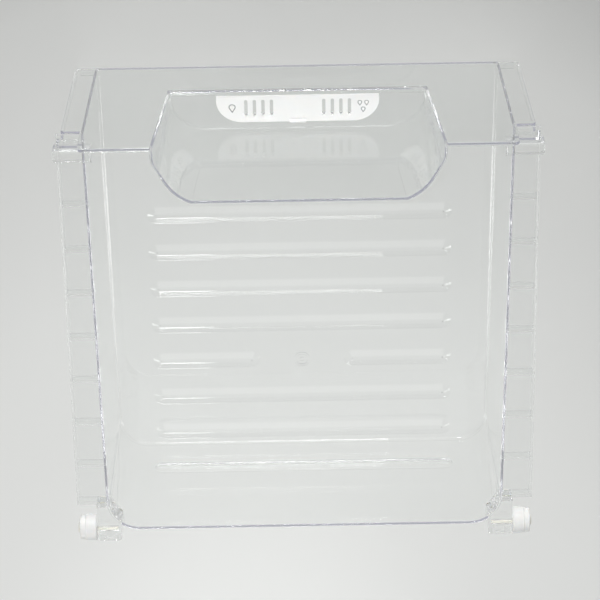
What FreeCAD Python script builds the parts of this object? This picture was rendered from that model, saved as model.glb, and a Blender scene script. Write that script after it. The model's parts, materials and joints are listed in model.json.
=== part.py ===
import FreeCAD, Part
import math
import os

# Fridge crisper drawer: a clear moulded tub with a tall front panel, a scooped handle bay with a
# sliding vent shutter on its floor, ribbed side runners, and a roller at each rear corner.
# Millimetres. X is across, the front face is drawn at Y = 0 and faces -Y, the underside is at Z = 0.
# The finished pieces are moved so that the origin is under the drawer's middle.

Vec = FreeCAD.Vector

# Tub
RIM_Z = 164.0            # height of the side runners' top face
RIM_RISE = 3.0           # how far the tub's walls stand above the runners
FRONT_HALF = 203.0       # half width of the tub at its rim, at the front
SIDE_TAPER = 6.0         # how much further in each side is at the rear
REAR_Y = 430.0           # rear wall's outer face at the rim
SIDE_DRAFT = 3.5         # how far each side wall leans in at the floor
REAR_DRAFT = 5.0         # how far the rear wall leans in at the floor
WALL = 2.5
FLOOR = 2.5
CORNER_R = 32.0          # upright rear corners, outside
FLOOR_R = 5.5            # edge between floor and walls, outside
EDGE_R = 1.0             # rounding of the moulding's free edges

# Front panel
PANEL_T = 2.8
PANEL_RISE = 43.0        # top edge above the runners
PANEL_SIDE = 19.5        # how far the panel stands out past the tub's sides
PANEL_LEAN = 3.5         # how far each side edge leans in at the foot
PANEL_CORNER_R = 5.0
NOTCH_CLEAR = 1.0        # from the tub's wall to the notch at each end of the panel
RETURN_DEPTH = 9.0       # the turned-back edge along the panel's sides and foot
RETURN_T = 2.2
BEAD_R = 2.2             # rounded bead along the panel's top edge

# Handle bay in the front panel
LIP_Z = 64.5             # bay floor at the panel
CREASE_Z = 54.0          # bay floor at the bay's back wall
CREASE_Y = 43.0
BAY_LIP_HALF = 123.0     # half width of the bay at the lip
BAY_TOP_HALF = 135.5     # half width of the bay at the panel's top edge
BAY_RIM_Y = 71.0         # bay's back wall at the tub's rim
BAY_FLOOR_BACK = 86.0    # half length of the back wall's straight stretch, at the floor
BAY_RIM_BACK = 101.0     # the same at the tub's rim
BAY_FLOOR_SIDE = 8.0     # straight stretch of the bay's sides, at the floor
BAY_RIM_SIDE = 28.0      # the same at the tub's rim
BAY_T = 2.5
LIP_R = 3.0              # finger lip along the bay floor's front edge
WING_END_Y = 54.0        # where the bay's side walls come down to the rim

# Vent shutter and the slots under it
SLOT_PITCH = 8.3
SLOT_W = 3.3
SLOT_L = 19.4
SLOTS_PER_GROUP = 4
SLOT_FIRST = 25.4        # from the middle to the first slot's centre
SLOT_MID = 20.5          # from the lip to the slots' centre, along the bay floor
SHUTTER_T = 1.8
SHUTTER_FRONT = 6.2      # from the lip to the shutter's straight edge
SHUTTER_DEPTH = 31.0
SHUTTER_FRONT_HALF = 78.5
SHUTTER_BACK_HALF = 54.0
SHUTTER_GAP = 0.2        # running gap between the shutter and the bay floor
TRAVEL = SLOT_PITCH / 2
STUD_X = 13.0            # the two snap studs that hold the shutter down
STUD_R = 2.0
STUD_HEAD_R = 3.8
STUD_HEAD_T = 1.6
STUD_GAP = 0.3
GRIP_W = 16.0
GRIP_T = 2.6
GRIP_H = 2.6

# Side runners
RUNNER_W = 24.0          # how far the runner stands out past the tub's front
RUNNER_SHORT = 28.0      # how far before the rear wall the runner ends
RUNNER_T = 2.5
RUNNER_LIP = 14.0        # height of the runner's turned-down outer lip
RUNNER_LIP_T = 2.2
RUNNER_RIBS = 7
RUNNER_RIB_FIRST = 76.5
RUNNER_RIB_PITCH = 47.0
RUNNER_RIB_T = 1.8
STOP_Y = 12.0            # stop block at the runner's front end
STOP_DEPTH = 13.5
STOP_H = 16.5
STOP_PROUD = 3.0         # past the runner's outer lip
STOP_R = 3.0

# Ridges pressed into the floor and the rear wall
RIDGE_END = 42.0         # from the tub's side at the rear to a ridge's end
RIDGE_H = 3.0
RIDGE_SLOPE = 20.5       # degrees, of a ridge's flanks
RIDGE_CREST_R = 6.5
RIDGE_FOOT_R = 4.5
RIDGE_RUNOUT = 5.0       # degrees that are left where the foot meets the face
RIDGE_SINK = 0.15        # how far the foot runs on under the face
RIDGES = 7
RIDGE_LAST = 21.5        # from the rear wall to the last ridge
RIDGE_PITCH = 41.5
GATE_RIDGE = 4           # the ridge that stops short of the gate mark
GATE_CLEAR = 43.0        # half of the break in that ridge
GATE_R = 8.0
GATE_WALL = 2.2
GATE_H = 0.8
WALL_RIDGE_Z = 51.0

# Rollers at the rear corners
ROLLER_R = 13.5
ROLLER_W = 17.0
ROLLER_OUT = 11.6        # from the tub's side at the rear to the roller
ROLLER_BACK = 1.5        # axle behind the rear wall
ROLLER_DROP = 6.0        # axle below the runners' top face
TREAD_W = 10.5
SHOULDER_R = 12.4
FACE_RECESS = 2.0
RECESS_R = 9.8
HUB_R = 5.6
AXLE_R = 3.0
AXLE_RUN = 0.05          # radial running clearance in the roller
AXLE_SEAT = 0.02         # radial clearance in the bracket
AXLE_SHORT = 3.5         # from the bracket's inner face to the axle's end
HEAD_R = 5.0
HEAD_T = 1.5
HEAD_GAP = 0.4
BRACKET_IN = 13.0        # how far the bracket reaches in past the tub's side
BRACKET_GAP = 0.6        # between the bracket and the roller
BRACKET_FRONT = 25.0     # how far before the rear wall the bracket starts
BRACKET_BACK = 12.0      # how far behind the axle it ends
BRACKET_DROP = 16.0      # bracket's underside below the axle
BRACKET_RISE = 8.0       # bracket's top above the axle
SNAP_SLOT_L = 10.0       # slot that lets the axle's seat spring
SNAP_SLOT_W = 3.0
SNAP_SLOT_WALL = 2.5

# Worked out from the sizes above
WALL_Z = RIM_Z + RIM_RISE
REAR_HALF = FRONT_HALF - SIDE_TAPER
PANEL_Z = RIM_Z + PANEL_RISE
PANEL_HALF = FRONT_HALF + PANEL_SIDE
PANEL_FOOT_HALF = PANEL_HALF - PANEL_LEAN
RUNNER_HALF = FRONT_HALF + RUNNER_W
RUNNER_END_Y = REAR_Y - RUNNER_SHORT
STOP_HALF = RUNNER_HALF + STOP_PROUD
RIDGE_HALF = REAR_HALF - RIDGE_END
RIDGE_FIRST = REAR_Y - RIDGE_LAST - (RIDGES - 1) * RIDGE_PITCH
ROLLER_X = REAR_HALF + ROLLER_OUT        # roller's inner face
ROLLER_Y = REAR_Y + ROLLER_BACK
ROLLER_Z = RIM_Z - ROLLER_DROP
BRACKET_X = REAR_HALF - BRACKET_IN
BRACKET_Y = REAR_Y - BRACKET_FRONT
BRACKET_END_Y = ROLLER_Y + BRACKET_BACK
AXLE_INNER_X = BRACKET_X + AXLE_SHORT
ORIGIN_Y = (ROLLER_Y + ROLLER_R) / 2     # the part's origin is under its middle
BAY_TILT = math.degrees(math.atan2(LIP_Z - CREASE_Z, CREASE_Y))
PAST = 1.0               # how far cutting shapes reach past a face
NEAR = 0.01              # how close counts as lying on a face
ROLLER_END_X = ROLLER_X + ROLLER_W
BRACKET_OUT_X = ROLLER_X - BRACKET_GAP
WALL_LEAN = math.degrees(math.atan2(REAR_DRAFT, RIM_Z))


def block(x0, x1, y0, y1, z0, z1):
    return Part.makeBox(x1 - x0, y1 - y0, z1 - z0, Vec(x0, y0, z0))


def mirrored(shape):
    return shape.mirror(Vec(0, 0, 0), Vec(1, 0, 0))


def both_sides(shape):
    return [shape, mirrored(shape)]


def polygon(points):
    return Part.makePolygon([Vec(*p) for p in points + points[:1]])


def prism(points, along):
    return Part.Face(polygon(points)).extrude(Vec(*along))


def bar(p0, p1, radius):
    """A round bar from one point to another."""
    start = Vec(*p0)
    axis = Vec(*p1) - start
    return Part.makeCylinder(radius, axis.Length, start, axis)


def rounded(shape, radius, test):
    """Rounds the edges whose middle point passes a test."""
    chosen = []
    for edge in shape.Edges:
        if test(edge.valueAt((edge.FirstParameter + edge.LastParameter) / 2)):
            chosen.append(edge)
    return shape.makeFillet(radius, chosen)


def side_x(y, z):
    """Half width of the tub, outside, at a place along it and a height."""
    at_rim = FRONT_HALF + (REAR_HALF - FRONT_HALF) * y / REAR_Y
    return at_rim - SIDE_DRAFT * (1 - z / RIM_Z)


def rear_y(z):
    return REAR_Y - REAR_DRAFT * (1 - z / RIM_Z)


def tub_form(inset, front, z0, z1, corner_r, floor_r):
    """The tub's tapered block, with round rear corners and a round lower edge."""
    reach = PANEL_HALF
    side_profile = [(-reach, front, z0), (-reach, rear_y(z0) - inset, z0),
                    (-reach, rear_y(z1) - inset, z1), (-reach, front, z1)]
    form = prism(side_profile, (2 * reach, 0, 0))
    past_corners = [(front - PAST, z0 - PAST), (REAR_Y + PAST, z0 - PAST),
                    (REAR_Y + PAST, z1 + PAST), (front - PAST, z1 + PAST)]
    outside = prism([(side_x(y, z) - inset, y, z) for y, z in past_corners], (reach, 0, 0))
    form = form.cut(both_sides(outside))
    middle = REAR_Y / 2
    upright = [e for e in form.Edges if min(v.Y for v in e.Vertexes) > middle
               and abs(e.Vertexes[0].Z - e.Vertexes[-1].Z) > (z1 - z0) / 2]
    form = form.makeFillet(corner_r, upright)
    lower = [e for e in form.Edges if max(v.Z for v in e.Vertexes) < z0 + NEAR
             and max(v.Y for v in e.Vertexes) > front + NEAR]
    return form.makeFillet(floor_r, lower)


def panel():
    """The front panel with its turned-back edge, notched down at both ends to the runners' height."""
    notch = side_x(0, WALL_Z) + NOTCH_CLEAR
    face = [(-PANEL_FOOT_HALF, 0, 0), (PANEL_FOOT_HALF, 0, 0), (PANEL_HALF, 0, RIM_Z),
            (notch, 0, RIM_Z), (notch, 0, PANEL_Z), (-notch, 0, PANEL_Z), (-notch, 0, RIM_Z),
            (-PANEL_HALF, 0, RIM_Z)]
    plate = prism(face, (0, PANEL_T, 0))
    round_at = [e for e in plate.Edges if abs(e.Vertexes[0].Y - e.Vertexes[-1].Y) > PANEL_T / 2
                and (abs(e.Vertexes[0].X) > PANEL_FOOT_HALF - NEAR or e.Vertexes[0].Z > PANEL_Z - NEAR)]
    plate = plate.makeFillet(PANEL_CORNER_R, round_at)
    plate = rounded(plate, EDGE_R, lambda p: p.y < NEAR and p.z < RIM_Z - NEAR)
    inside = PANEL_T / 2
    lean = (PANEL_HALF - PANEL_FOOT_HALF) / RIM_Z
    low, high = PANEL_CORNER_R, RIM_Z - PANEL_CORNER_R
    strip = [(PANEL_FOOT_HALF + lean * low, inside, low), (PANEL_FOOT_HALF + lean * high, inside, high),
             (PANEL_FOOT_HALF + lean * high - RETURN_T, inside, high),
             (PANEL_FOOT_HALF + lean * low - RETURN_T, inside, low)]
    foot_half = PANEL_FOOT_HALF - PANEL_CORNER_R
    foot = block(-foot_half, foot_half, inside, RETURN_DEPTH, 0, FLOOR)
    bead_half = notch - PANEL_CORNER_R
    bead = bar((-bead_half, BEAD_R, PANEL_Z - BEAD_R), (bead_half, BEAD_R, PANEL_Z - BEAD_R), BEAD_R)
    return [plate, foot, bead] + both_sides(prism(strip, (0, RETURN_DEPTH - inside, 0)))


def bay_wire(front_half, back_half, depth, side, front, height):
    """One level of the handle bay: straight sides that curve in to a straight back.

    height gives Z at a place along Y, because the bay's floor slopes.
    """
    dx = front_half - back_half
    dy = depth - side
    radius = (dx * dx + dy * dy) / (2 * dx)
    half_turn = math.atan2(dy, radius - dx) / 2
    bend = (front_half - radius + radius * math.cos(half_turn), side + radius * math.sin(half_turn))

    def at(x, y):
        return Vec(x, y, height(y))

    return Part.Wire([
        Part.LineSegment(at(front_half, front), at(front_half, side)).toShape(),
        Part.Arc(at(front_half, side), at(*bend), at(back_half, depth)).toShape(),
        Part.LineSegment(at(back_half, depth), at(-back_half, depth)).toShape(),
        Part.Arc(at(-back_half, depth), at(-bend[0], bend[1]), at(-front_half, side)).toShape(),
        Part.LineSegment(at(-front_half, side), at(-front_half, front)).toShape(),
        Part.LineSegment(at(-front_half, front), at(front_half, front)).toShape(),
    ])


def bay_form(wall, front):
    """The bay's hollow (wall 0) or its outside, up past the panel's top edge."""
    top = PANEL_Z + BEAD_R
    drop = wall / math.cos(math.radians(BAY_TILT))
    slope = (LIP_Z - CREASE_Z) / CREASE_Y
    above_rim = (top - RIM_Z) / (RIM_Z - CREASE_Z)
    lower = bay_wire(BAY_LIP_HALF + wall, BAY_FLOOR_BACK + wall / 2, CREASE_Y + wall,
                     BAY_FLOOR_SIDE, front, lambda y: LIP_Z - drop - slope * y)
    upper = bay_wire(BAY_TOP_HALF + wall,
                     BAY_RIM_BACK + wall / 2 + (BAY_RIM_BACK - BAY_FLOOR_BACK) * above_rim,
                     BAY_RIM_Y + wall + (BAY_RIM_Y - CREASE_Y) * above_rim,
                     BAY_RIM_SIDE + (BAY_RIM_SIDE - BAY_FLOOR_SIDE) * above_rim, front, lambda y: top)
    return Part.makeLoft([lower, upper], True, True)


def above_wings():
    """What is cut off the bay's walls: they sweep down from the panel's top edge to the rim."""
    ends = [Vec(0, PANEL_T, PANEL_Z), Vec(0, WING_END_Y, WALL_Z)]
    middle = (PANEL_T + WING_END_Y) / 2
    sweep = Part.BezierCurve()
    sweep.setPoles([ends[0], Vec(0, middle, PANEL_Z), Vec(0, middle, WALL_Z), ends[1]])
    far = REAR_Y / 2
    high = 2 * PANEL_Z
    rest = Part.makePolygon([ends[1], Vec(0, far, WALL_Z), Vec(0, far, high), Vec(0, -PANEL_T, high),
                             Vec(0, -PANEL_T, PANEL_Z), ends[0]])
    face = Part.Face(Part.Wire([sweep.toShape()] + rest.Edges))
    half = PANEL_HALF
    return face.extrude(Vec(2 * half, 0, 0)).translated(Vec(-half, 0, 0))


def bay_walls():
    """The bay's walls and floor, with round free edges along the top."""
    above = above_wings()
    walls = bay_form(BAY_T, PANEL_T / 2).cut([above, bay_form(0, -PAST)])
    edges = []
    for edge in walls.Edges:
        middle = Part.Vertex(edge.valueAt((edge.FirstParameter + edge.LastParameter) / 2))
        if edge.Length > 2 * BAY_T and middle.Y > PANEL_T and above.distToShape(middle)[0] < NEAR:
            edges.append(edge)
    return walls.makeFillet(EDGE_R, edges)


def front():
    """The panel with the bay let into it."""
    pieces = panel()
    face = pieces[0].fuse(pieces[1:]).cut(bay_form(0, -PAST))
    return face.fuse(bay_walls())


def on_bay_floor(shape):
    """Lays a shape made flat (lip along X, Y into the bay) on the sloping bay floor."""
    shape.rotate(Vec(0, 0, 0), Vec(1, 0, 0), -BAY_TILT)
    shape.translate(Vec(0, 0, LIP_Z))
    return shape


def long_hole(x0, x1, y0, y1, z0, z1):
    """A slot with round ends, along its longer side."""
    if x1 - x0 > y1 - y0:
        r = (y1 - y0) / 2
        ends = [(x0 + r, y0 + r), (x1 - r, y0 + r)]
        core = block(x0 + r, x1 - r, y0, y1, z0, z1)
    else:
        r = (x1 - x0) / 2
        ends = [(x0 + r, y0 + r), (x0 + r, y1 - r)]
        core = block(x0, x1, y0 + r, y1 - r, z0, z1)
    return core.fuse([bar((x, y, z0), (x, y, z1), r) for x, y in ends])


def vent_slots(z0, z1):
    slots = []
    for i in range(SLOTS_PER_GROUP):
        x = SLOT_FIRST + i * SLOT_PITCH
        slots += both_sides(long_hole(x - SLOT_W / 2, x + SLOT_W / 2,
                                      SLOT_MID - SLOT_L / 2, SLOT_MID + SLOT_L / 2, z0, z1))
    return slots


def stud_guides(z0, z1):
    """The slots in the bay floor that the shutter's studs run in."""
    play = STUD_R + STUD_GAP
    return [long_hole(x - play, x + play + TRAVEL, SLOT_MID - play, SLOT_MID + play, z0, z1)
            for x in (-STUD_X, STUD_X)]


def runner():
    """Right-hand runner: a plate with a turned-down lip, cross ribs and a stop block."""
    inner = REAR_HALF - SIDE_DRAFT
    under = RIM_Z - RUNNER_T
    foot = RIM_Z - RUNNER_LIP
    pieces = [block(inner, RUNNER_HALF, PANEL_T, RUNNER_END_Y, under, RIM_Z),
              block(RUNNER_HALF - RUNNER_LIP_T, RUNNER_HALF, STOP_Y, RUNNER_END_Y, foot, RIM_Z)]
    stations = [RUNNER_RIB_FIRST + i * RUNNER_RIB_PITCH for i in range(RUNNER_RIBS)]
    stations += [STOP_Y + RUNNER_RIB_T, RUNNER_END_Y - RUNNER_RIB_T / 2]
    for y in stations:
        pieces.append(block(inner, RUNNER_HALF, y - RUNNER_RIB_T / 2, y + RUNNER_RIB_T / 2, foot, RIM_Z))
    rail = pieces[0].fuse(pieces[1:]).removeSplitter()
    rail = rounded(rail, EDGE_R, lambda p: p.x > RUNNER_HALF - NEAR and p.z > RIM_Z - NEAR)
    stop = block(inner, STOP_HALF, STOP_Y, STOP_Y + STOP_DEPTH, under, RIM_Z + STOP_H)
    edges = [e for e in stop.Edges if min(v.Z for v in e.Vertexes) > RIM_Z
             or min(v.X for v in e.Vertexes) > STOP_HALF - NEAR]
    return [rail, stop.makeFillet(STOP_R, edges)]


def bracket():
    """Right-hand axle bracket, which fills the outside of the tub's round rear corner."""
    body = block(BRACKET_X, BRACKET_OUT_X, BRACKET_Y, BRACKET_END_Y,
                 ROLLER_Z - BRACKET_DROP, ROLLER_Z + BRACKET_RISE)
    upright = [e for e in body.Edges if abs(e.Vertexes[0].Z - e.Vertexes[-1].Z) > 1
               and min(v.Y for v in e.Vertexes) > BRACKET_Y + NEAR]
    body = body.makeFillet(SNAP_SLOT_W, upright)
    return rounded(body, EDGE_R, lambda p: p.z > ROLLER_Z + BRACKET_RISE - NEAR)


def bracket_cuts():
    """Right-hand axle seat, and the slot behind it."""
    seat = bar((AXLE_INNER_X - HEAD_GAP, ROLLER_Y, ROLLER_Z),
               (BRACKET_OUT_X + PAST, ROLLER_Y, ROLLER_Z), AXLE_R + AXLE_SEAT)
    middle = (BRACKET_X + BRACKET_OUT_X) / 2
    end = BRACKET_END_Y - SNAP_SLOT_WALL
    slot = long_hole(middle - SNAP_SLOT_L / 2, middle + SNAP_SLOT_L / 2, end - SNAP_SLOT_W, end,
                     ROLLER_Z - BRACKET_DROP - PAST, ROLLER_Z + BRACKET_RISE + PAST)
    return [seat, slot]


def ridge_section():
    """Half of a ridge's section, across Y, standing on Z = 0: a round crest, a flank and a hollow foot."""
    slope = math.radians(RIDGE_SLOPE)
    runout = math.radians(RIDGE_RUNOUT)

    def on_crest(angle):
        return Vec(0, RIDGE_CREST_R * math.sin(angle), RIDGE_H - RIDGE_CREST_R * (1 - math.cos(angle)))

    foot_top = RIDGE_FOOT_R * (math.cos(runout) - math.cos(slope))
    flank_end = on_crest(slope).y + (on_crest(slope).z - foot_top) / math.tan(slope)
    half = flank_end + RIDGE_FOOT_R * (math.sin(slope) - math.sin(runout))

    def on_foot(angle):
        return Vec(0, half - RIDGE_FOOT_R * (math.sin(angle) - math.sin(runout)),
                   RIDGE_FOOT_R * (math.cos(runout) - math.cos(angle)))

    under = Vec(0, half + RIDGE_SINK / math.tan(runout), -RIDGE_SINK)
    base = Vec(0, 0, -RIDGE_SINK)
    return half, Part.Face(Part.Wire([
        Part.Arc(on_crest(0), on_crest(slope / 2), on_crest(slope)).toShape(),
        Part.LineSegment(on_crest(slope), on_foot(slope)).toShape(),
        Part.Arc(on_foot(slope), on_foot((slope + runout) / 2), on_foot(runout)).toShape(),
        Part.LineSegment(on_foot(runout), under).toShape(),
        Part.LineSegment(under, base).toShape(),
        Part.LineSegment(base, on_crest(0)).toShape(),
    ]))


def ridge(x0, x1):
    """A ridge along X with round ends, standing on Z = 0."""
    half, section = ridge_section()
    x0, x1 = x0 + half, x1 - half
    origin, up = Vec(0, 0, 0), Vec(0, 0, 1)
    side = section.extrude(Vec(x1 - x0, 0, 0)).translated(Vec(x0, 0, 0))
    other_side = side.mirror(origin, Vec(0, 1, 0))
    ends = [section.revolve(origin, up, 180).translated(Vec(x0, 0, 0)),
            section.revolve(origin, up, -180).translated(Vec(x1, 0, 0))]
    return side.fuse([other_side] + ends).removeSplitter()


def floor_ridges(surface):
    """The ridges that stand up from a level: the inside of the floor, or its underside for the grooves.

    One ridge is in two lengths, either side of the gate mark.
    """
    ridges = []
    for i in range(RIDGES):
        place = Vec(0, RIDGE_FIRST + i * RIDGE_PITCH, surface)
        if i == GATE_RIDGE:
            ridges += both_sides(ridge(GATE_CLEAR, RIDGE_HALF).translated(place))
        else:
            ridges.append(ridge(-RIDGE_HALF, RIDGE_HALF).translated(place))
    return ridges


def wall_ridge(surface):
    """The long ridge on the rear wall, standing in from a face this far inside the wall's outer one."""
    shape = ridge(-RIDGE_HALF, RIDGE_HALF)
    shape.rotate(Vec(0, 0, 0), Vec(1, 0, 0), 90 - WALL_LEAN)
    shape.translate(Vec(0, rear_y(WALL_RIDGE_Z) - surface, WALL_RIDGE_Z))
    return shape


def gate_mark():
    y = RIDGE_FIRST + GATE_RIDGE * RIDGE_PITCH
    top = FLOOR + GATE_H
    ring = bar((0, y, 0), (0, y, top), GATE_R).cut(bar((0, y, 0), (0, y, top), GATE_R - GATE_WALL))
    return [ring, bar((0, y, 0), (0, y, top), GATE_WALL)]


def tub():
    """The clear moulding: tub, front panel, handle bay, runners and axle brackets in one piece."""
    open_front = -CORNER_R
    outer = tub_form(0, open_front, 0, WALL_Z, CORNER_R, FLOOR_R)
    hollow = tub_form(WALL, open_front - PAST, FLOOR, WALL_Z + PAST, CORNER_R - WALL, FLOOR_R - WALL)
    walls = rounded(outer.cut(hollow), EDGE_R,
                    lambda p: p.z > WALL_Z - NEAR and p.y > open_front + NEAR)
    walls = walls.cut(block(-PANEL_HALF, PANEL_HALF, open_front - PAST, PANEL_T / 2, -PAST, PANEL_Z))
    sides = []
    for piece in runner() + [bracket()]:
        sides += both_sides(piece.cut(hollow))
    shell = walls.fuse(sides)
    shell = shell.cut([c for cut in bracket_cuts() for c in both_sides(cut)])
    shell = shell.fuse([front()] + floor_ridges(FLOOR) + gate_mark() + [wall_ridge(WALL)])
    shell = shell.cut(floor_ridges(0) + [wall_ridge(0)])
    deep = 2 * BAY_T
    openings = vent_slots(-deep, deep) + stud_guides(-deep, deep)
    shell = shell.cut([on_bay_floor(o) for o in openings])
    lip = bar((-BAY_TOP_HALF, PANEL_T, LIP_Z), (BAY_TOP_HALF, PANEL_T, LIP_Z), LIP_R)
    lip = lip.common(bay_form(BAY_T / 2, -PAST).fuse(bay_form(BAY_T, PANEL_T / 2))).cut(
        block(-PANEL_HALF, PANEL_HALF, -PANEL_T, 0, 0, PANEL_Z))
    return shell.fuse(lip).removeSplitter()


def vent_shutter():
    """The white shutter: a slotted plate with a finger grip, held by two snap studs."""
    back = SHUTTER_FRONT + SHUTTER_DEPTH
    rise = SHUTTER_FRONT_HALF - SHUTTER_BACK_HALF
    radius = (rise ** 2 + SHUTTER_DEPTH ** 2) / (2 * SHUTTER_DEPTH)
    half_turn = math.atan2(rise, radius - SHUTTER_DEPTH) / 2
    bend_x = SHUTTER_BACK_HALF + radius * math.sin(half_turn)
    bend_y = back - radius + radius * math.cos(half_turn)

    def at(x, y):
        return Vec(x, y, SHUTTER_GAP)

    front_left = at(-SHUTTER_FRONT_HALF, SHUTTER_FRONT)
    front_right = at(SHUTTER_FRONT_HALF, SHUTTER_FRONT)
    back_left = at(-SHUTTER_BACK_HALF, back)
    back_right = at(SHUTTER_BACK_HALF, back)
    outline = Part.Wire([
        Part.LineSegment(front_left, front_right).toShape(),
        Part.Arc(front_right, at(bend_x, bend_y), back_right).toShape(),
        Part.LineSegment(back_right, back_left).toShape(),
        Part.Arc(back_left, at(-bend_x, bend_y), front_left).toShape(),
    ])
    plate = Part.Face(outline).extrude(Vec(0, 0, SHUTTER_T))
    plate = plate.cut(vent_slots(0, SHUTTER_GAP + SHUTTER_T + PAST))
    top = SHUTTER_GAP + SHUTTER_T
    grip = block(-GRIP_W / 2, GRIP_W / 2, back - GRIP_T, back, SHUTTER_GAP, top + GRIP_H)
    grip = grip.makeFillet(GRIP_T / 3, [e for e in grip.Edges if min(v.Z for v in e.Vertexes) > top])
    studs = []
    under = -BAY_T - STUD_GAP
    for x in (-STUD_X, STUD_X):
        studs.append(bar((x, SLOT_MID, under), (x, SLOT_MID, top), STUD_R))
        studs.append(Part.makeCone(STUD_R, STUD_HEAD_R, STUD_HEAD_T, Vec(x, SLOT_MID, under - STUD_HEAD_T)))
    return on_bay_floor(plate.fuse([grip] + studs).removeSplitter())


def roller():
    """Right-hand roller, turned about its axle: a tread, a lower shoulder and a dished outer face."""
    bore = AXLE_R + AXLE_RUN
    edge = ROLLER_R - SHOULDER_R
    tread_end = ROLLER_X + TREAD_W
    recess = ROLLER_END_X - FACE_RECESS
    profile = [(ROLLER_X, bore), (ROLLER_X, ROLLER_R - edge), (ROLLER_X + edge, ROLLER_R),
               (tread_end, ROLLER_R), (tread_end + edge, SHOULDER_R), (ROLLER_END_X - edge, SHOULDER_R),
               (ROLLER_END_X, SHOULDER_R - edge), (ROLLER_END_X, RECESS_R), (recess, RECESS_R),
               (recess, HUB_R), (ROLLER_END_X, HUB_R), (ROLLER_END_X, bore)]
    face = Part.Face(polygon([(x, ROLLER_Y + r, ROLLER_Z) for x, r in profile]))
    return face.revolve(Vec(0, ROLLER_Y, ROLLER_Z), Vec(1, 0, 0), 360)


def axle():
    """Right-hand axle: a headed pin that is pressed into the bracket and carries the roller."""
    head_x = ROLLER_END_X + HEAD_GAP
    pin = bar((AXLE_INNER_X, ROLLER_Y, ROLLER_Z), (head_x, ROLLER_Y, ROLLER_Z), AXLE_R)
    head = bar((head_x, ROLLER_Y, ROLLER_Z), (head_x + HEAD_T, ROLLER_Y, ROLLER_Z), HEAD_R)
    rim = [e for e in head.Edges if min(v.X for v in e.Vertexes) > head_x + HEAD_T / 2]
    return pin.fuse(head.makeFillet(HEAD_T / 2, rim)).removeSplitter()


os.makedirs("parts", exist_ok=True)
right_roller = roller()
right_axle = axle()
nodes = {
    "tub": tub(),
    "vent_shutter": vent_shutter(),
    "roller_right": right_roller,
    "roller_left": mirrored(right_roller),
    "axle_right": right_axle,
    "axle_left": mirrored(right_axle),
}
for name, shape in nodes.items():
    shape.translate(Vec(0, -ORIGIN_Y, 0))
    print(name, shape.isValid(), len(shape.Solids), round(shape.Volume))
    shape.exportStep("parts/%s.step" % name)
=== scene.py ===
# %% [markdown]
# # A clear crisper drawer
# The drawer is one clear moulding with a white vent shutter and two white rollers. Its pieces come
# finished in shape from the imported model, in metres, so this lesson is about what makes clear plastic
# look like clear plastic: real wall thickness, soft edges, a pale ground behind it and broad lamps.

# %% Load the drawer
import json
import math

import bpy
from mathutils import Matrix, Vector


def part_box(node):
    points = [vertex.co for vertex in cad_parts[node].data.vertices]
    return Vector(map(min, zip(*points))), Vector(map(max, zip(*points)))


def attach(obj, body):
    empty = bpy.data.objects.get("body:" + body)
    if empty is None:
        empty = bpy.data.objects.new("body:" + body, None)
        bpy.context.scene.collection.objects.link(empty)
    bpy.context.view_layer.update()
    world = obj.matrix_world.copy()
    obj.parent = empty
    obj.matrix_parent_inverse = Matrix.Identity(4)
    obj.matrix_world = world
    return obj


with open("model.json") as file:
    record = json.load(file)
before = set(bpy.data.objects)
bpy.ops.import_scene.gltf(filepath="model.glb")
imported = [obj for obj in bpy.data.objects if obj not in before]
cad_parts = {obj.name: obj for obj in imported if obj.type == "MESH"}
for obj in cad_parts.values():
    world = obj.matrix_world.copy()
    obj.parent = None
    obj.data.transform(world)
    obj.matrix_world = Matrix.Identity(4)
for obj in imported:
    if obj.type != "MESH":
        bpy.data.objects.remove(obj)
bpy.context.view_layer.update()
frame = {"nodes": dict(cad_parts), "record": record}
MM = 0.001

# %% [markdown]
# ## The camera
# The picture looks steeply into the open drawer with the front panel at the top of the frame, so the
# camera stands on the front side, high up, and is turned over. A long lens from nearly three metres keeps
# the walls almost parallel. Building the camera's axes from the view's height angle is plainer than
# three rotation numbers, and the small roll is one named angle.

# %% Camera
VIEW_HEIGHT = math.radians(64.0)
VIEW_ROLL = math.radians(1.0)
VIEW_DISTANCE = 2.80
VIEW_AIM = Vector((1.0 * MM, 36.2 * MM, 0.0))
FRAME_PX = 600
FOCAL_PX = 2718

back = Vector((0.0, -math.cos(VIEW_HEIGHT), math.sin(VIEW_HEIGHT)))
picture_right = Vector((-1.0, 0.0, 0.0))
picture_up = back.cross(picture_right)
camera_axes = Matrix((picture_right, picture_up, back)).transposed()
camera_axes = camera_axes @ Matrix.Rotation(-VIEW_ROLL, 3, "Z")

camera_data = bpy.data.cameras.new("picture_camera")
camera_data.lens = camera_data.sensor_width * FOCAL_PX / FRAME_PX
camera = bpy.data.objects.new("picture_camera", camera_data)
bpy.context.scene.collection.objects.link(camera)
camera.matrix_world = Matrix.Translation(VIEW_AIM + back * VIEW_DISTANCE) @ camera_axes.to_4x4()
bpy.context.scene.camera = camera
print("lens in mm:", round(camera_data.lens, 1))

# %% [markdown]
# ## A shared skin for moulded plastic
# A moulded face is never quite even: it has slow waves where the plastic flowed, and a fine grain from the
# tool. Both could be painted separately in every material. A node group gives them one name and puts out
# plain values, and each material sets how strongly it uses them.

# %% Moulded skin group


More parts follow.
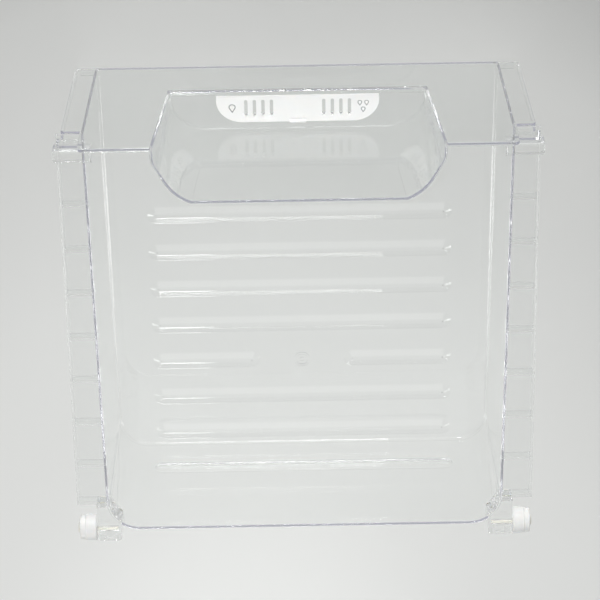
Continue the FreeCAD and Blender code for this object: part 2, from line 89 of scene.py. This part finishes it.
def moulded_skin_group():
    group = bpy.data.node_groups.new("moulded_skin", "ShaderNodeTree")
    for name, value in (("Flow Scale", 30.0), ("Grain Scale", 900.0)):
        socket = group.interface.new_socket(name, in_out="INPUT", socket_type="NodeSocketFloat")
        socket.default_value = value
    for name in ("Flow", "Grain"):
        group.interface.new_socket(name, in_out="OUTPUT", socket_type="NodeSocketFloat")
    nodes, links = group.nodes, group.links
    inputs = nodes.new("NodeGroupInput")
    outputs = nodes.new("NodeGroupOutput")
    place = nodes.new("ShaderNodeTexCoord")
    flow = nodes.new("ShaderNodeTexNoise")
    flow.inputs["Detail"].default_value = 2.0
    flow.inputs["Roughness"].default_value = 0.4
    grain = nodes.new("ShaderNodeTexNoise")
    grain.inputs["Detail"].default_value = 3.0
    grain.inputs["Roughness"].default_value = 0.6
    for texture, scale, out in ((flow, "Flow Scale", "Flow"), (grain, "Grain Scale", "Grain")):
        links.new(place.outputs["Object"], texture.inputs["Vector"])
        links.new(inputs.outputs[scale], texture.inputs["Scale"])
        links.new(texture.outputs["Fac"], outputs.inputs[out])
    return group


moulded_skin = moulded_skin_group()
print("group:", moulded_skin.name, [s.name for s in moulded_skin.interface.items_tree])

# %% Helpers for materials


def new_material(name):
    """A material with a Principled shader and the moulded skin beside it."""
    material = bpy.data.materials.new(name)
    material.use_nodes = True
    shader = material.node_tree.nodes["Principled BSDF"]
    skin = material.node_tree.nodes.new("ShaderNodeGroup")
    skin.node_tree = moulded_skin
    return material, shader, skin


def value_range(material, source, low, high):
    """Stretches a 0 to 1 pattern between two values."""
    node = material.node_tree.nodes.new("ShaderNodeMapRange")
    node.inputs["To Min"].default_value = low
    node.inputs["To Max"].default_value = high
    material.node_tree.links.new(source, node.inputs["Value"])
    return node.outputs["Result"]


def bump(material, shader, height, distance, strength):
    """Lets a pattern tilt the surface a little."""
    node = material.node_tree.nodes.new("ShaderNodeBump")
    node.inputs["Distance"].default_value = distance
    node.inputs["Strength"].default_value = strength
    material.node_tree.links.new(height, node.inputs["Height"])
    material.node_tree.links.new(node.outputs["Normal"], shader.inputs["Normal"])


# %% [markdown]
# ## Clear plastic
# The tub is polished clear plastic. It could be faked with low alpha, but then its edges would stay dull.
# Full transmission through walls of real thickness bends the light at every rib and edge, and that is
# what draws the drawer. Rays that only ask for a lamp pass straight through, so the shadow stays faint.
# A ray that is caught inside a wall would run on until it is dropped as black, where real light leaves
# through some edge at last, so after many faces such a ray goes straight on too.

# %% Clear plastic material
FACES_BEFORE_FREE = 14


def clear_plastic():
    material, shader, skin = new_material("clear_plastic")
    nodes, links = material.node_tree.nodes, material.node_tree.links
    shader.inputs["Base Color"].default_value = (0.97, 0.978, 0.975, 1.0)
    shader.inputs["Transmission Weight"].default_value = 1.0
    shader.inputs["IOR"].default_value = 1.57
    links.new(value_range(material, skin.outputs["Flow"], 0.0, 0.015), shader.inputs["Roughness"])
    bump(material, shader, skin.outputs["Flow"], 0.2 * MM, 0.01)
    rays = nodes.new("ShaderNodeLightPath")
    caught = nodes.new("ShaderNodeMath")
    caught.operation = "GREATER_THAN"
    caught.inputs[1].default_value = FACES_BEFORE_FREE
    links.new(rays.outputs["Ray Depth"], caught.inputs[0])
    let_go = nodes.new("ShaderNodeMath")
    let_go.operation = "MAXIMUM"
    links.new(rays.outputs["Is Shadow Ray"], let_go.inputs[0])
    links.new(caught.outputs["Value"], let_go.inputs[1])
    through = nodes.new("ShaderNodeBsdfTransparent")
    through.inputs["Color"].default_value = (0.965, 0.97, 0.97, 1.0)
    mix = nodes.new("ShaderNodeMixShader")
    links.new(let_go.outputs["Value"], mix.inputs["Fac"])
    links.new(shader.outputs["BSDF"], mix.inputs[1])
    links.new(through.outputs["BSDF"], mix.inputs[2])
    links.new(mix.outputs["Shader"], nodes["Material Output"].inputs["Surface"])
    return material


# %% [markdown]
# ## White and off-white plastic
# The shutter is a satin white moulding, the rollers are a slightly waxy bearing plastic and their axles
# are left in the plastic's own cream colour. One function makes all three: only colour, shine, grain and
# how far light soaks in are different.

# %% White plastic materials


def solid_plastic(name, colour, shine, grain_depth, soak):
    """shine is the roughness at the smooth and at the dull spots, soak the depth light enters."""
    material, shader, skin = new_material(name)
    shader.inputs["Base Color"].default_value = (*colour, 1.0)
    shader.inputs["IOR"].default_value = 1.5
    shader.inputs["Subsurface Weight"].default_value = 0.3
    shader.inputs["Subsurface Radius"].default_value = (1.0, 0.9, 0.8)
    shader.inputs["Subsurface Scale"].default_value = soak
    roughness = value_range(material, skin.outputs["Flow"], *shine)
    material.node_tree.links.new(roughness, shader.inputs["Roughness"])
    bump(material, shader, skin.outputs["Grain"], grain_depth, 0.3)
    return material


finishes = {
    "clear_plastic": clear_plastic(),
    "white_plastic": solid_plastic("white_plastic", (0.90, 0.90, 0.89), (0.50, 0.65), 0.03 * MM, 1.0 * MM),
    "roller_plastic": solid_plastic("roller_plastic", (0.94, 0.94, 0.925), (0.35, 0.55), 0.05 * MM, 2.0 * MM),
    "axle_plastic": solid_plastic("axle_plastic", (0.84, 0.82, 0.75), (0.4, 0.6), 0.05 * MM, 2.0 * MM),
}
for part in frame["record"]["subparts"]:
    node = frame["nodes"][part["node"]]
    node.data.materials.clear()
    node.data.materials.append(finishes[part["material_slot"]])
    print(part["node"], "gets", part["material_slot"])

# %% [markdown]
# ## Marks on the shutter
# The shutter's two ends say which way keeps the vegetables drier or moister: plain water drops, one at
# one end and three at the other. They could be painted in the material, but a printed mark has a crisp
# edge at any distance, so each drop is a thin shape of ink on the plastic.
# A drop is a circle whose top corner is pulled out to a point, where the straight sides meet the circle.

# %% Ink
ink_material = bpy.data.materials.new("mark_ink")
ink_material.use_nodes = True
ink_shader = ink_material.node_tree.nodes["Principled BSDF"]
ink_shader.inputs["Base Color"].default_value = (0.16, 0.165, 0.17, 1.0)
ink_shader.inputs["Roughness"].default_value = 0.5
print("ink:", ink_material.name)

# %% One drop of ink
INK_DEPTH = 0.08 * MM
INK_SUNK = 0.03 * MM
DROP_SIDES = 36


def select_by(test):
    """Selects the vertices of the mesh in edit mode that pass a test."""
    bpy.ops.mesh.select_all(action="DESELECT")
    bpy.ops.object.mode_set(mode="OBJECT")
    for vertex in bpy.context.object.data.vertices:
        vertex.select = test(vertex.co)
    bpy.ops.object.mode_set(mode="EDIT")


def ink_drop(name, radius, line):
    """A drop's outline lying flat, with its point towards +Y and its middle at the origin."""
    bpy.ops.object.select_all(action="DESELECT")
    bpy.ops.mesh.primitive_circle_add(vertices=DROP_SIDES, radius=radius, fill_type="NGON")
    drop = bpy.context.object
    drop.name = name
    bpy.ops.object.mode_set(mode="EDIT")
    bpy.ops.mesh.select_mode(type="VERT")
    tangent = radius * math.cos(math.radians(60)) + 0.1 * MM
    select_by(lambda p: p.y > tangent and abs(p.x) > 0.1 * radius / DROP_SIDES)
    bpy.ops.mesh.dissolve_verts()
    select_by(lambda p: p.y > tangent)
    bpy.ops.transform.translate(value=(0.0, radius, 0.0))
    bpy.ops.mesh.select_all(action="SELECT")
    bpy.ops.mesh.inset(thickness=line)
    bpy.ops.mesh.delete(type="ONLY_FACE")
    bpy.ops.mesh.select_all(action="SELECT")
    bpy.ops.mesh.extrude_region_move(TRANSFORM_OT_translate={"value": (0.0, 0.0, INK_DEPTH)})
    bpy.ops.mesh.select_all(action="SELECT")
    bpy.ops.mesh.normals_make_consistent(inside=False)
    bpy.ops.object.mode_set(mode="OBJECT")
    return drop


# %% [markdown]
# ## Laying the drops on the shutter
# The shutter lies on a sloping floor. Its slope and height are read from its own upper face, so the ink
# stays on it whatever its size. Each drop is moved and turned in place, and then that move is made part
# of its mesh, so it slides with the shutter like the shutter's own plastic.

# %% Drops in place
shutter = frame["nodes"]["vent_shutter"]
upper = [face for face in shutter.data.polygons if face.normal.z > 0.9]
broad = max(upper, key=lambda face: face.area)
slope = Matrix.Rotation(math.atan2(broad.normal.y, broad.normal.z), 3, "X").transposed()
face_middle = broad.center
shutter_low, shutter_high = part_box("vent_shutter")
MARK_IN = 15.5 * MM      # from the shutter's end to a mark
MARK_BACK = 13.0 * MM    # from the shutter's straight edge to a mark
DRY_R, DRY_LINE = 3.4 * MM, 0.8 * MM
MOIST_R, MOIST_LINE = 2.2 * MM, 0.6 * MM
MOIST_PLACES = {"moist_mark_a": (-3.3, -3.6), "moist_mark_b": (3.3, -3.6), "moist_mark_c": (0.0, 4.0)}


def lay_on_shutter(drop, x, y):
    """Lays a drop on the shutter's upper face above or below the point x, y."""
    height = face_middle.z - (y - face_middle.y) * broad.normal.y / broad.normal.z
    place = Vector((x, y, height)) - broad.normal * INK_SUNK
    drop.matrix_world = Matrix.Translation(place) @ slope.to_4x4()
    bpy.ops.object.select_all(action="DESELECT")
    drop.select_set(True)
    bpy.context.view_layer.objects.active = drop
    bpy.ops.object.transform_apply(location=True, rotation=True, scale=True)
    drop.data.materials.append(ink_material)
    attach(drop, "shutter")
    print(drop.name, [round(v / MM, 1) for v in place])


mark_y = shutter_low[1] + MARK_BACK
lay_on_shutter(ink_drop("dry_mark", DRY_R, DRY_LINE), shutter_high[0] - MARK_IN, mark_y)
for name, (across, along) in MOIST_PLACES.items():
    drop = ink_drop(name, MOIST_R, MOIST_LINE)
    lay_on_shutter(drop, shutter_low[0] + MARK_IN + across * MM, mark_y + along * MM)

# %% [markdown]
# ## Floor and surroundings
# The ground is a pale sheet with painted light in its colour: a bright pool near the rear of the drawer that
# fades to painted grey shade towards the far corners. It glows for the camera and for rays that come off or
# through the plastic, so the background keeps its tone without more light on the drawer, and the rest of it
# is plain paint that takes the shadow.
# Rays that were caught in a wall find it a dim lavender, a painted shade that draws the thin dark lines along
# the rims, next to the white ones that mirror a lamp. The room is made the same way, and what the plastic
# shows of it is darker at eye level, as in a studio where only the table is bright.

# %% Floor
FLOOR_SIZE = 12.0
FLOOR_GAP = 0.8 * MM
# Painted light: the middle of the bright pool painted into the ground's colour.
PAINTED_LIGHT_SPOT = Vector((0.07, 0.55, 0.0))
ACROSS = 1.3             # how much faster the tone falls off across the drawer than along it
# The painted light's tone on the ground at each distance in metres from the brightest spot of the pool.
PAINTED_LIGHT_TONES = ((0.10, 0.87), (0.19, 0.86), (0.30, 0.78), (0.40, 0.74), (0.52, 0.73),
         (0.62, 0.68), (0.72, 0.63), (0.86, 0.58), (0.93, 0.50), (1.0, 0.42))
# Painted shade: the dim lavender that caught rays find, which draws the dark lines along the rims.
PAINTED_RIM_SHADE = (0.42, 0.42, 0.50)
GLOW = 0.8               # the share of the ground's tone that glows
bpy.ops.object.select_all(action="DESELECT")
bpy.ops.mesh.primitive_plane_add(size=FLOOR_SIZE, location=(0.0, 0.0, -FLOOR_GAP))
floor = bpy.context.object
floor.name = "floor"


def largest(nodes, links, *sources):
    """The largest of several values."""
    result = sources[0]
    for source in sources[1:]:
        node = nodes.new("ShaderNodeMath")
        node.operation = "MAXIMUM"
        links.new(result, node.inputs[0])
        links.new(source, node.inputs[1])
        result = node.outputs["Value"]
    return result


def deep_ray(nodes, links, rays):
    """1 for a ray that was caught in the plastic, else 0."""
    node = nodes.new("ShaderNodeMath")
    node.operation = "GREATER_THAN"
    node.inputs[1].default_value = FACES_BEFORE_FREE
    links.new(rays.outputs["Ray Depth"], node.inputs[0])
    return node.outputs["Value"]


def floor_with_painted_light():
    material = bpy.data.materials.new("floor_with_painted_light")
    material.use_nodes = True
    nodes, links = material.node_tree.nodes, material.node_tree.links
    nodes.clear()
    place = nodes.new("ShaderNodeTexCoord")
    from_spot = nodes.new("ShaderNodeMapping")
    from_spot.inputs["Scale"].default_value = (ACROSS, 1.0, 1.0)
    from_spot.inputs["Location"].default_value = (-PAINTED_LIGHT_SPOT.x * ACROSS, -PAINTED_LIGHT_SPOT.y, 0.0)
    distance = nodes.new("ShaderNodeVectorMath")
    distance.operation = "LENGTH"
    # The ground's colour is painted light, bright at the spot and greyer farther off.
    ramp = nodes.new("ShaderNodeValToRGB")
    ramp.color_ramp.interpolation = "B_SPLINE"
    stops = ramp.color_ramp.elements
    for _ in PAINTED_LIGHT_TONES[2:]:
        stops.new(0.5)
    for stop, (at, tone) in zip(stops, PAINTED_LIGHT_TONES):
        stop.position = at
        stop.color = (0.99 * tone, tone, 0.98 * tone, 1.0)
    links.new(place.outputs["Object"], from_spot.inputs["Vector"])
    links.new(from_spot.outputs["Vector"], distance.inputs[0])
    links.new(distance.outputs["Value"], ramp.inputs["Fac"])
    paint = nodes.new("ShaderNodeBsdfDiffuse")
    glow = nodes.new("ShaderNodeEmission")
    links.new(ramp.outputs["Color"], paint.inputs["Color"])
    rays = nodes.new("ShaderNodeLightPath")
    # Picks the ground's painted light, or the painted rim shade for rays caught in the plastic.
    painted_light_or_rim_shade = nodes.new("ShaderNodeMix")
    painted_light_or_rim_shade.data_type = "RGBA"
    painted_light_or_rim_shade.inputs["B"].default_value = (*PAINTED_RIM_SHADE, 1.0)
    links.new(deep_ray(nodes, links, rays), painted_light_or_rim_shade.inputs["Factor"])
    links.new(ramp.outputs["Color"], painted_light_or_rim_shade.inputs["A"])
    links.new(painted_light_or_rim_shade.outputs["Result"], glow.inputs["Color"])
    seen = largest(nodes, links, rays.outputs["Is Camera Ray"], rays.outputs["Is Transmission Ray"],
                   rays.outputs["Is Glossy Ray"])
    share = nodes.new("ShaderNodeMath")
    share.operation = "MULTIPLY"
    share.inputs[1].default_value = GLOW
    links.new(seen, share.inputs[0])
    mix = nodes.new("ShaderNodeMixShader")
    links.new(share.outputs["Value"], mix.inputs["Fac"])
    links.new(paint.outputs["BSDF"], mix.inputs[1])
    links.new(glow.outputs["Emission"], mix.inputs[2])
    output = nodes.new("ShaderNodeOutputMaterial")
    links.new(mix.outputs["Shader"], output.inputs["Surface"])
    return material


floor.data.materials.append(floor_with_painted_light())
print("floor in m:", tuple(floor.dimensions))

# %% Room
ROOM_LIGHT = 0.28        # how strongly the room lights the drawer
ROOM_SEEN = 0.80         # how pale it is behind the floor
ROOM_LOW = 0.12          # what clear plastic shows of it at eye level
ROOM_HIGH = 0.60         # and overhead
ROOM_HIGH_FROM = 0.7     # how steeply up a ray runs where the room is palest
world = bpy.data.worlds.new("pale_room")
world.use_nodes = True
bpy.context.scene.world = world
room_nodes, room_links = world.node_tree.nodes, world.node_tree.links
room = room_nodes["Background"]
room.inputs["Color"].default_value = (0.99, 1.0, 0.99, 1.0)
rays = room_nodes.new("ShaderNodeLightPath")
place = room_nodes.new("ShaderNodeTexCoord")
parts = room_nodes.new("ShaderNodeSeparateXYZ")
in_plastic = room_nodes.new("ShaderNodeMapRange")
in_plastic.inputs["From Max"].default_value = ROOM_HIGH_FROM
in_plastic.inputs["To Min"].default_value = ROOM_LOW
in_plastic.inputs["To Max"].default_value = ROOM_HIGH
plain = room_nodes.new("ShaderNodeMapRange")
plain.inputs["To Min"].default_value = ROOM_LIGHT
plain.inputs["To Max"].default_value = ROOM_SEEN
strength = room_nodes.new("ShaderNodeMix")
room_links.new(place.outputs["Generated"], parts.inputs["Vector"])
room_links.new(parts.outputs["Z"], in_plastic.inputs["Value"])
room_links.new(rays.outputs["Is Camera Ray"], plain.inputs["Value"])
through_or_off = largest(room_nodes, room_links, rays.outputs["Is Transmission Ray"],
                         rays.outputs["Is Glossy Ray"])
room_links.new(through_or_off, strength.inputs["Factor"])
room_links.new(plain.outputs["Result"], strength.inputs["A"])
room_links.new(in_plastic.outputs["Result"], strength.inputs["B"])
room_links.new(strength.outputs["Result"], room.inputs["Strength"])
print("room lights with", ROOM_LIGHT, "and is seen at", ROOM_SEEN)

# %% [markdown]
# ## Lamps
# Clear plastic shows its lamps as much as its shape. A broad dim lamp in front draws the creases, and one
# overhead gives the ridges their soft bands. Two small bright ones draw crisp lines on the edges, and one
# at each side lifts the walls. The white pieces need more light from the front than the plastic should
# show: a brighter lamp there would fill the drawer's floor with its image, seen from behind. So a second
# one stands behind the first that only lights, and is left out of what clear plastic mirrors.

# %% Lamps


def softbox(name, place, aim, size, power):
    """A flat lamp that faces a point."""
    light = bpy.data.lights.new(name, "AREA")
    light.shape = "RECTANGLE"
    light.size, light.size_y = size
    light.energy = power
    lamp = bpy.data.objects.new(name, light)
    bpy.context.scene.collection.objects.link(lamp)
    lamp.location = place
    lamp.rotation_euler = (Vector(aim) - Vector(place)).to_track_quat("-Z", "Y").to_euler()
    print(name, "watts", power)
    return lamp


softbox("front_softbox", (0.0, -2.1, 1.1), (0.0, 0.0, 0.1), (2.8, 1.8), 15.0)
front_fill = softbox("front_fill", (0.0, -2.4, 1.3), (0.0, 0.0, 0.1), (2.8, 1.8), 28.0)
front_fill.visible_glossy = False
front_fill.visible_transmission = False
softbox("top_softbox", (0.0, -0.65, 2.5), (0.0, 0.0, 0.0), (1.4, 0.8), 1.6)
softbox("rear_strip", (0.45, 1.66, 1.12), (0.0, 0.1, 0.0), (0.6, 0.2), 8.0)
softbox("front_strip", (0.06, -1.9, 1.2), (0.0, 0.0, 0.1), (0.45, 0.3), 10.0)
softbox("left_softbox", (-2.0, 1.0, 1.1), (0.0, 0.0, 0.1), (0.4, 1.6), 8.0)
softbox("right_softbox", (2.0, 1.0, 1.1), (0.0, 0.0, 0.1), (0.4, 1.6), 8.0)

# %% [markdown]
# ## Deep light paths
# A ray that runs along a clear wall meets many faces before it leaves. Too few bounces would end it in
# black, so the limits are raised.

# %% Light paths
cycles = bpy.context.scene.cycles
cycles.max_bounces = 24
cycles.transmission_bounces = 24
cycles.glossy_bounces = 16
cycles.transparent_max_bounces = 40

# %% [markdown]
# ## Last measures
# Colours are shown as they are written, without a film look.

# %% Finish
bpy.context.scene.view_settings.view_transform = "Standard"
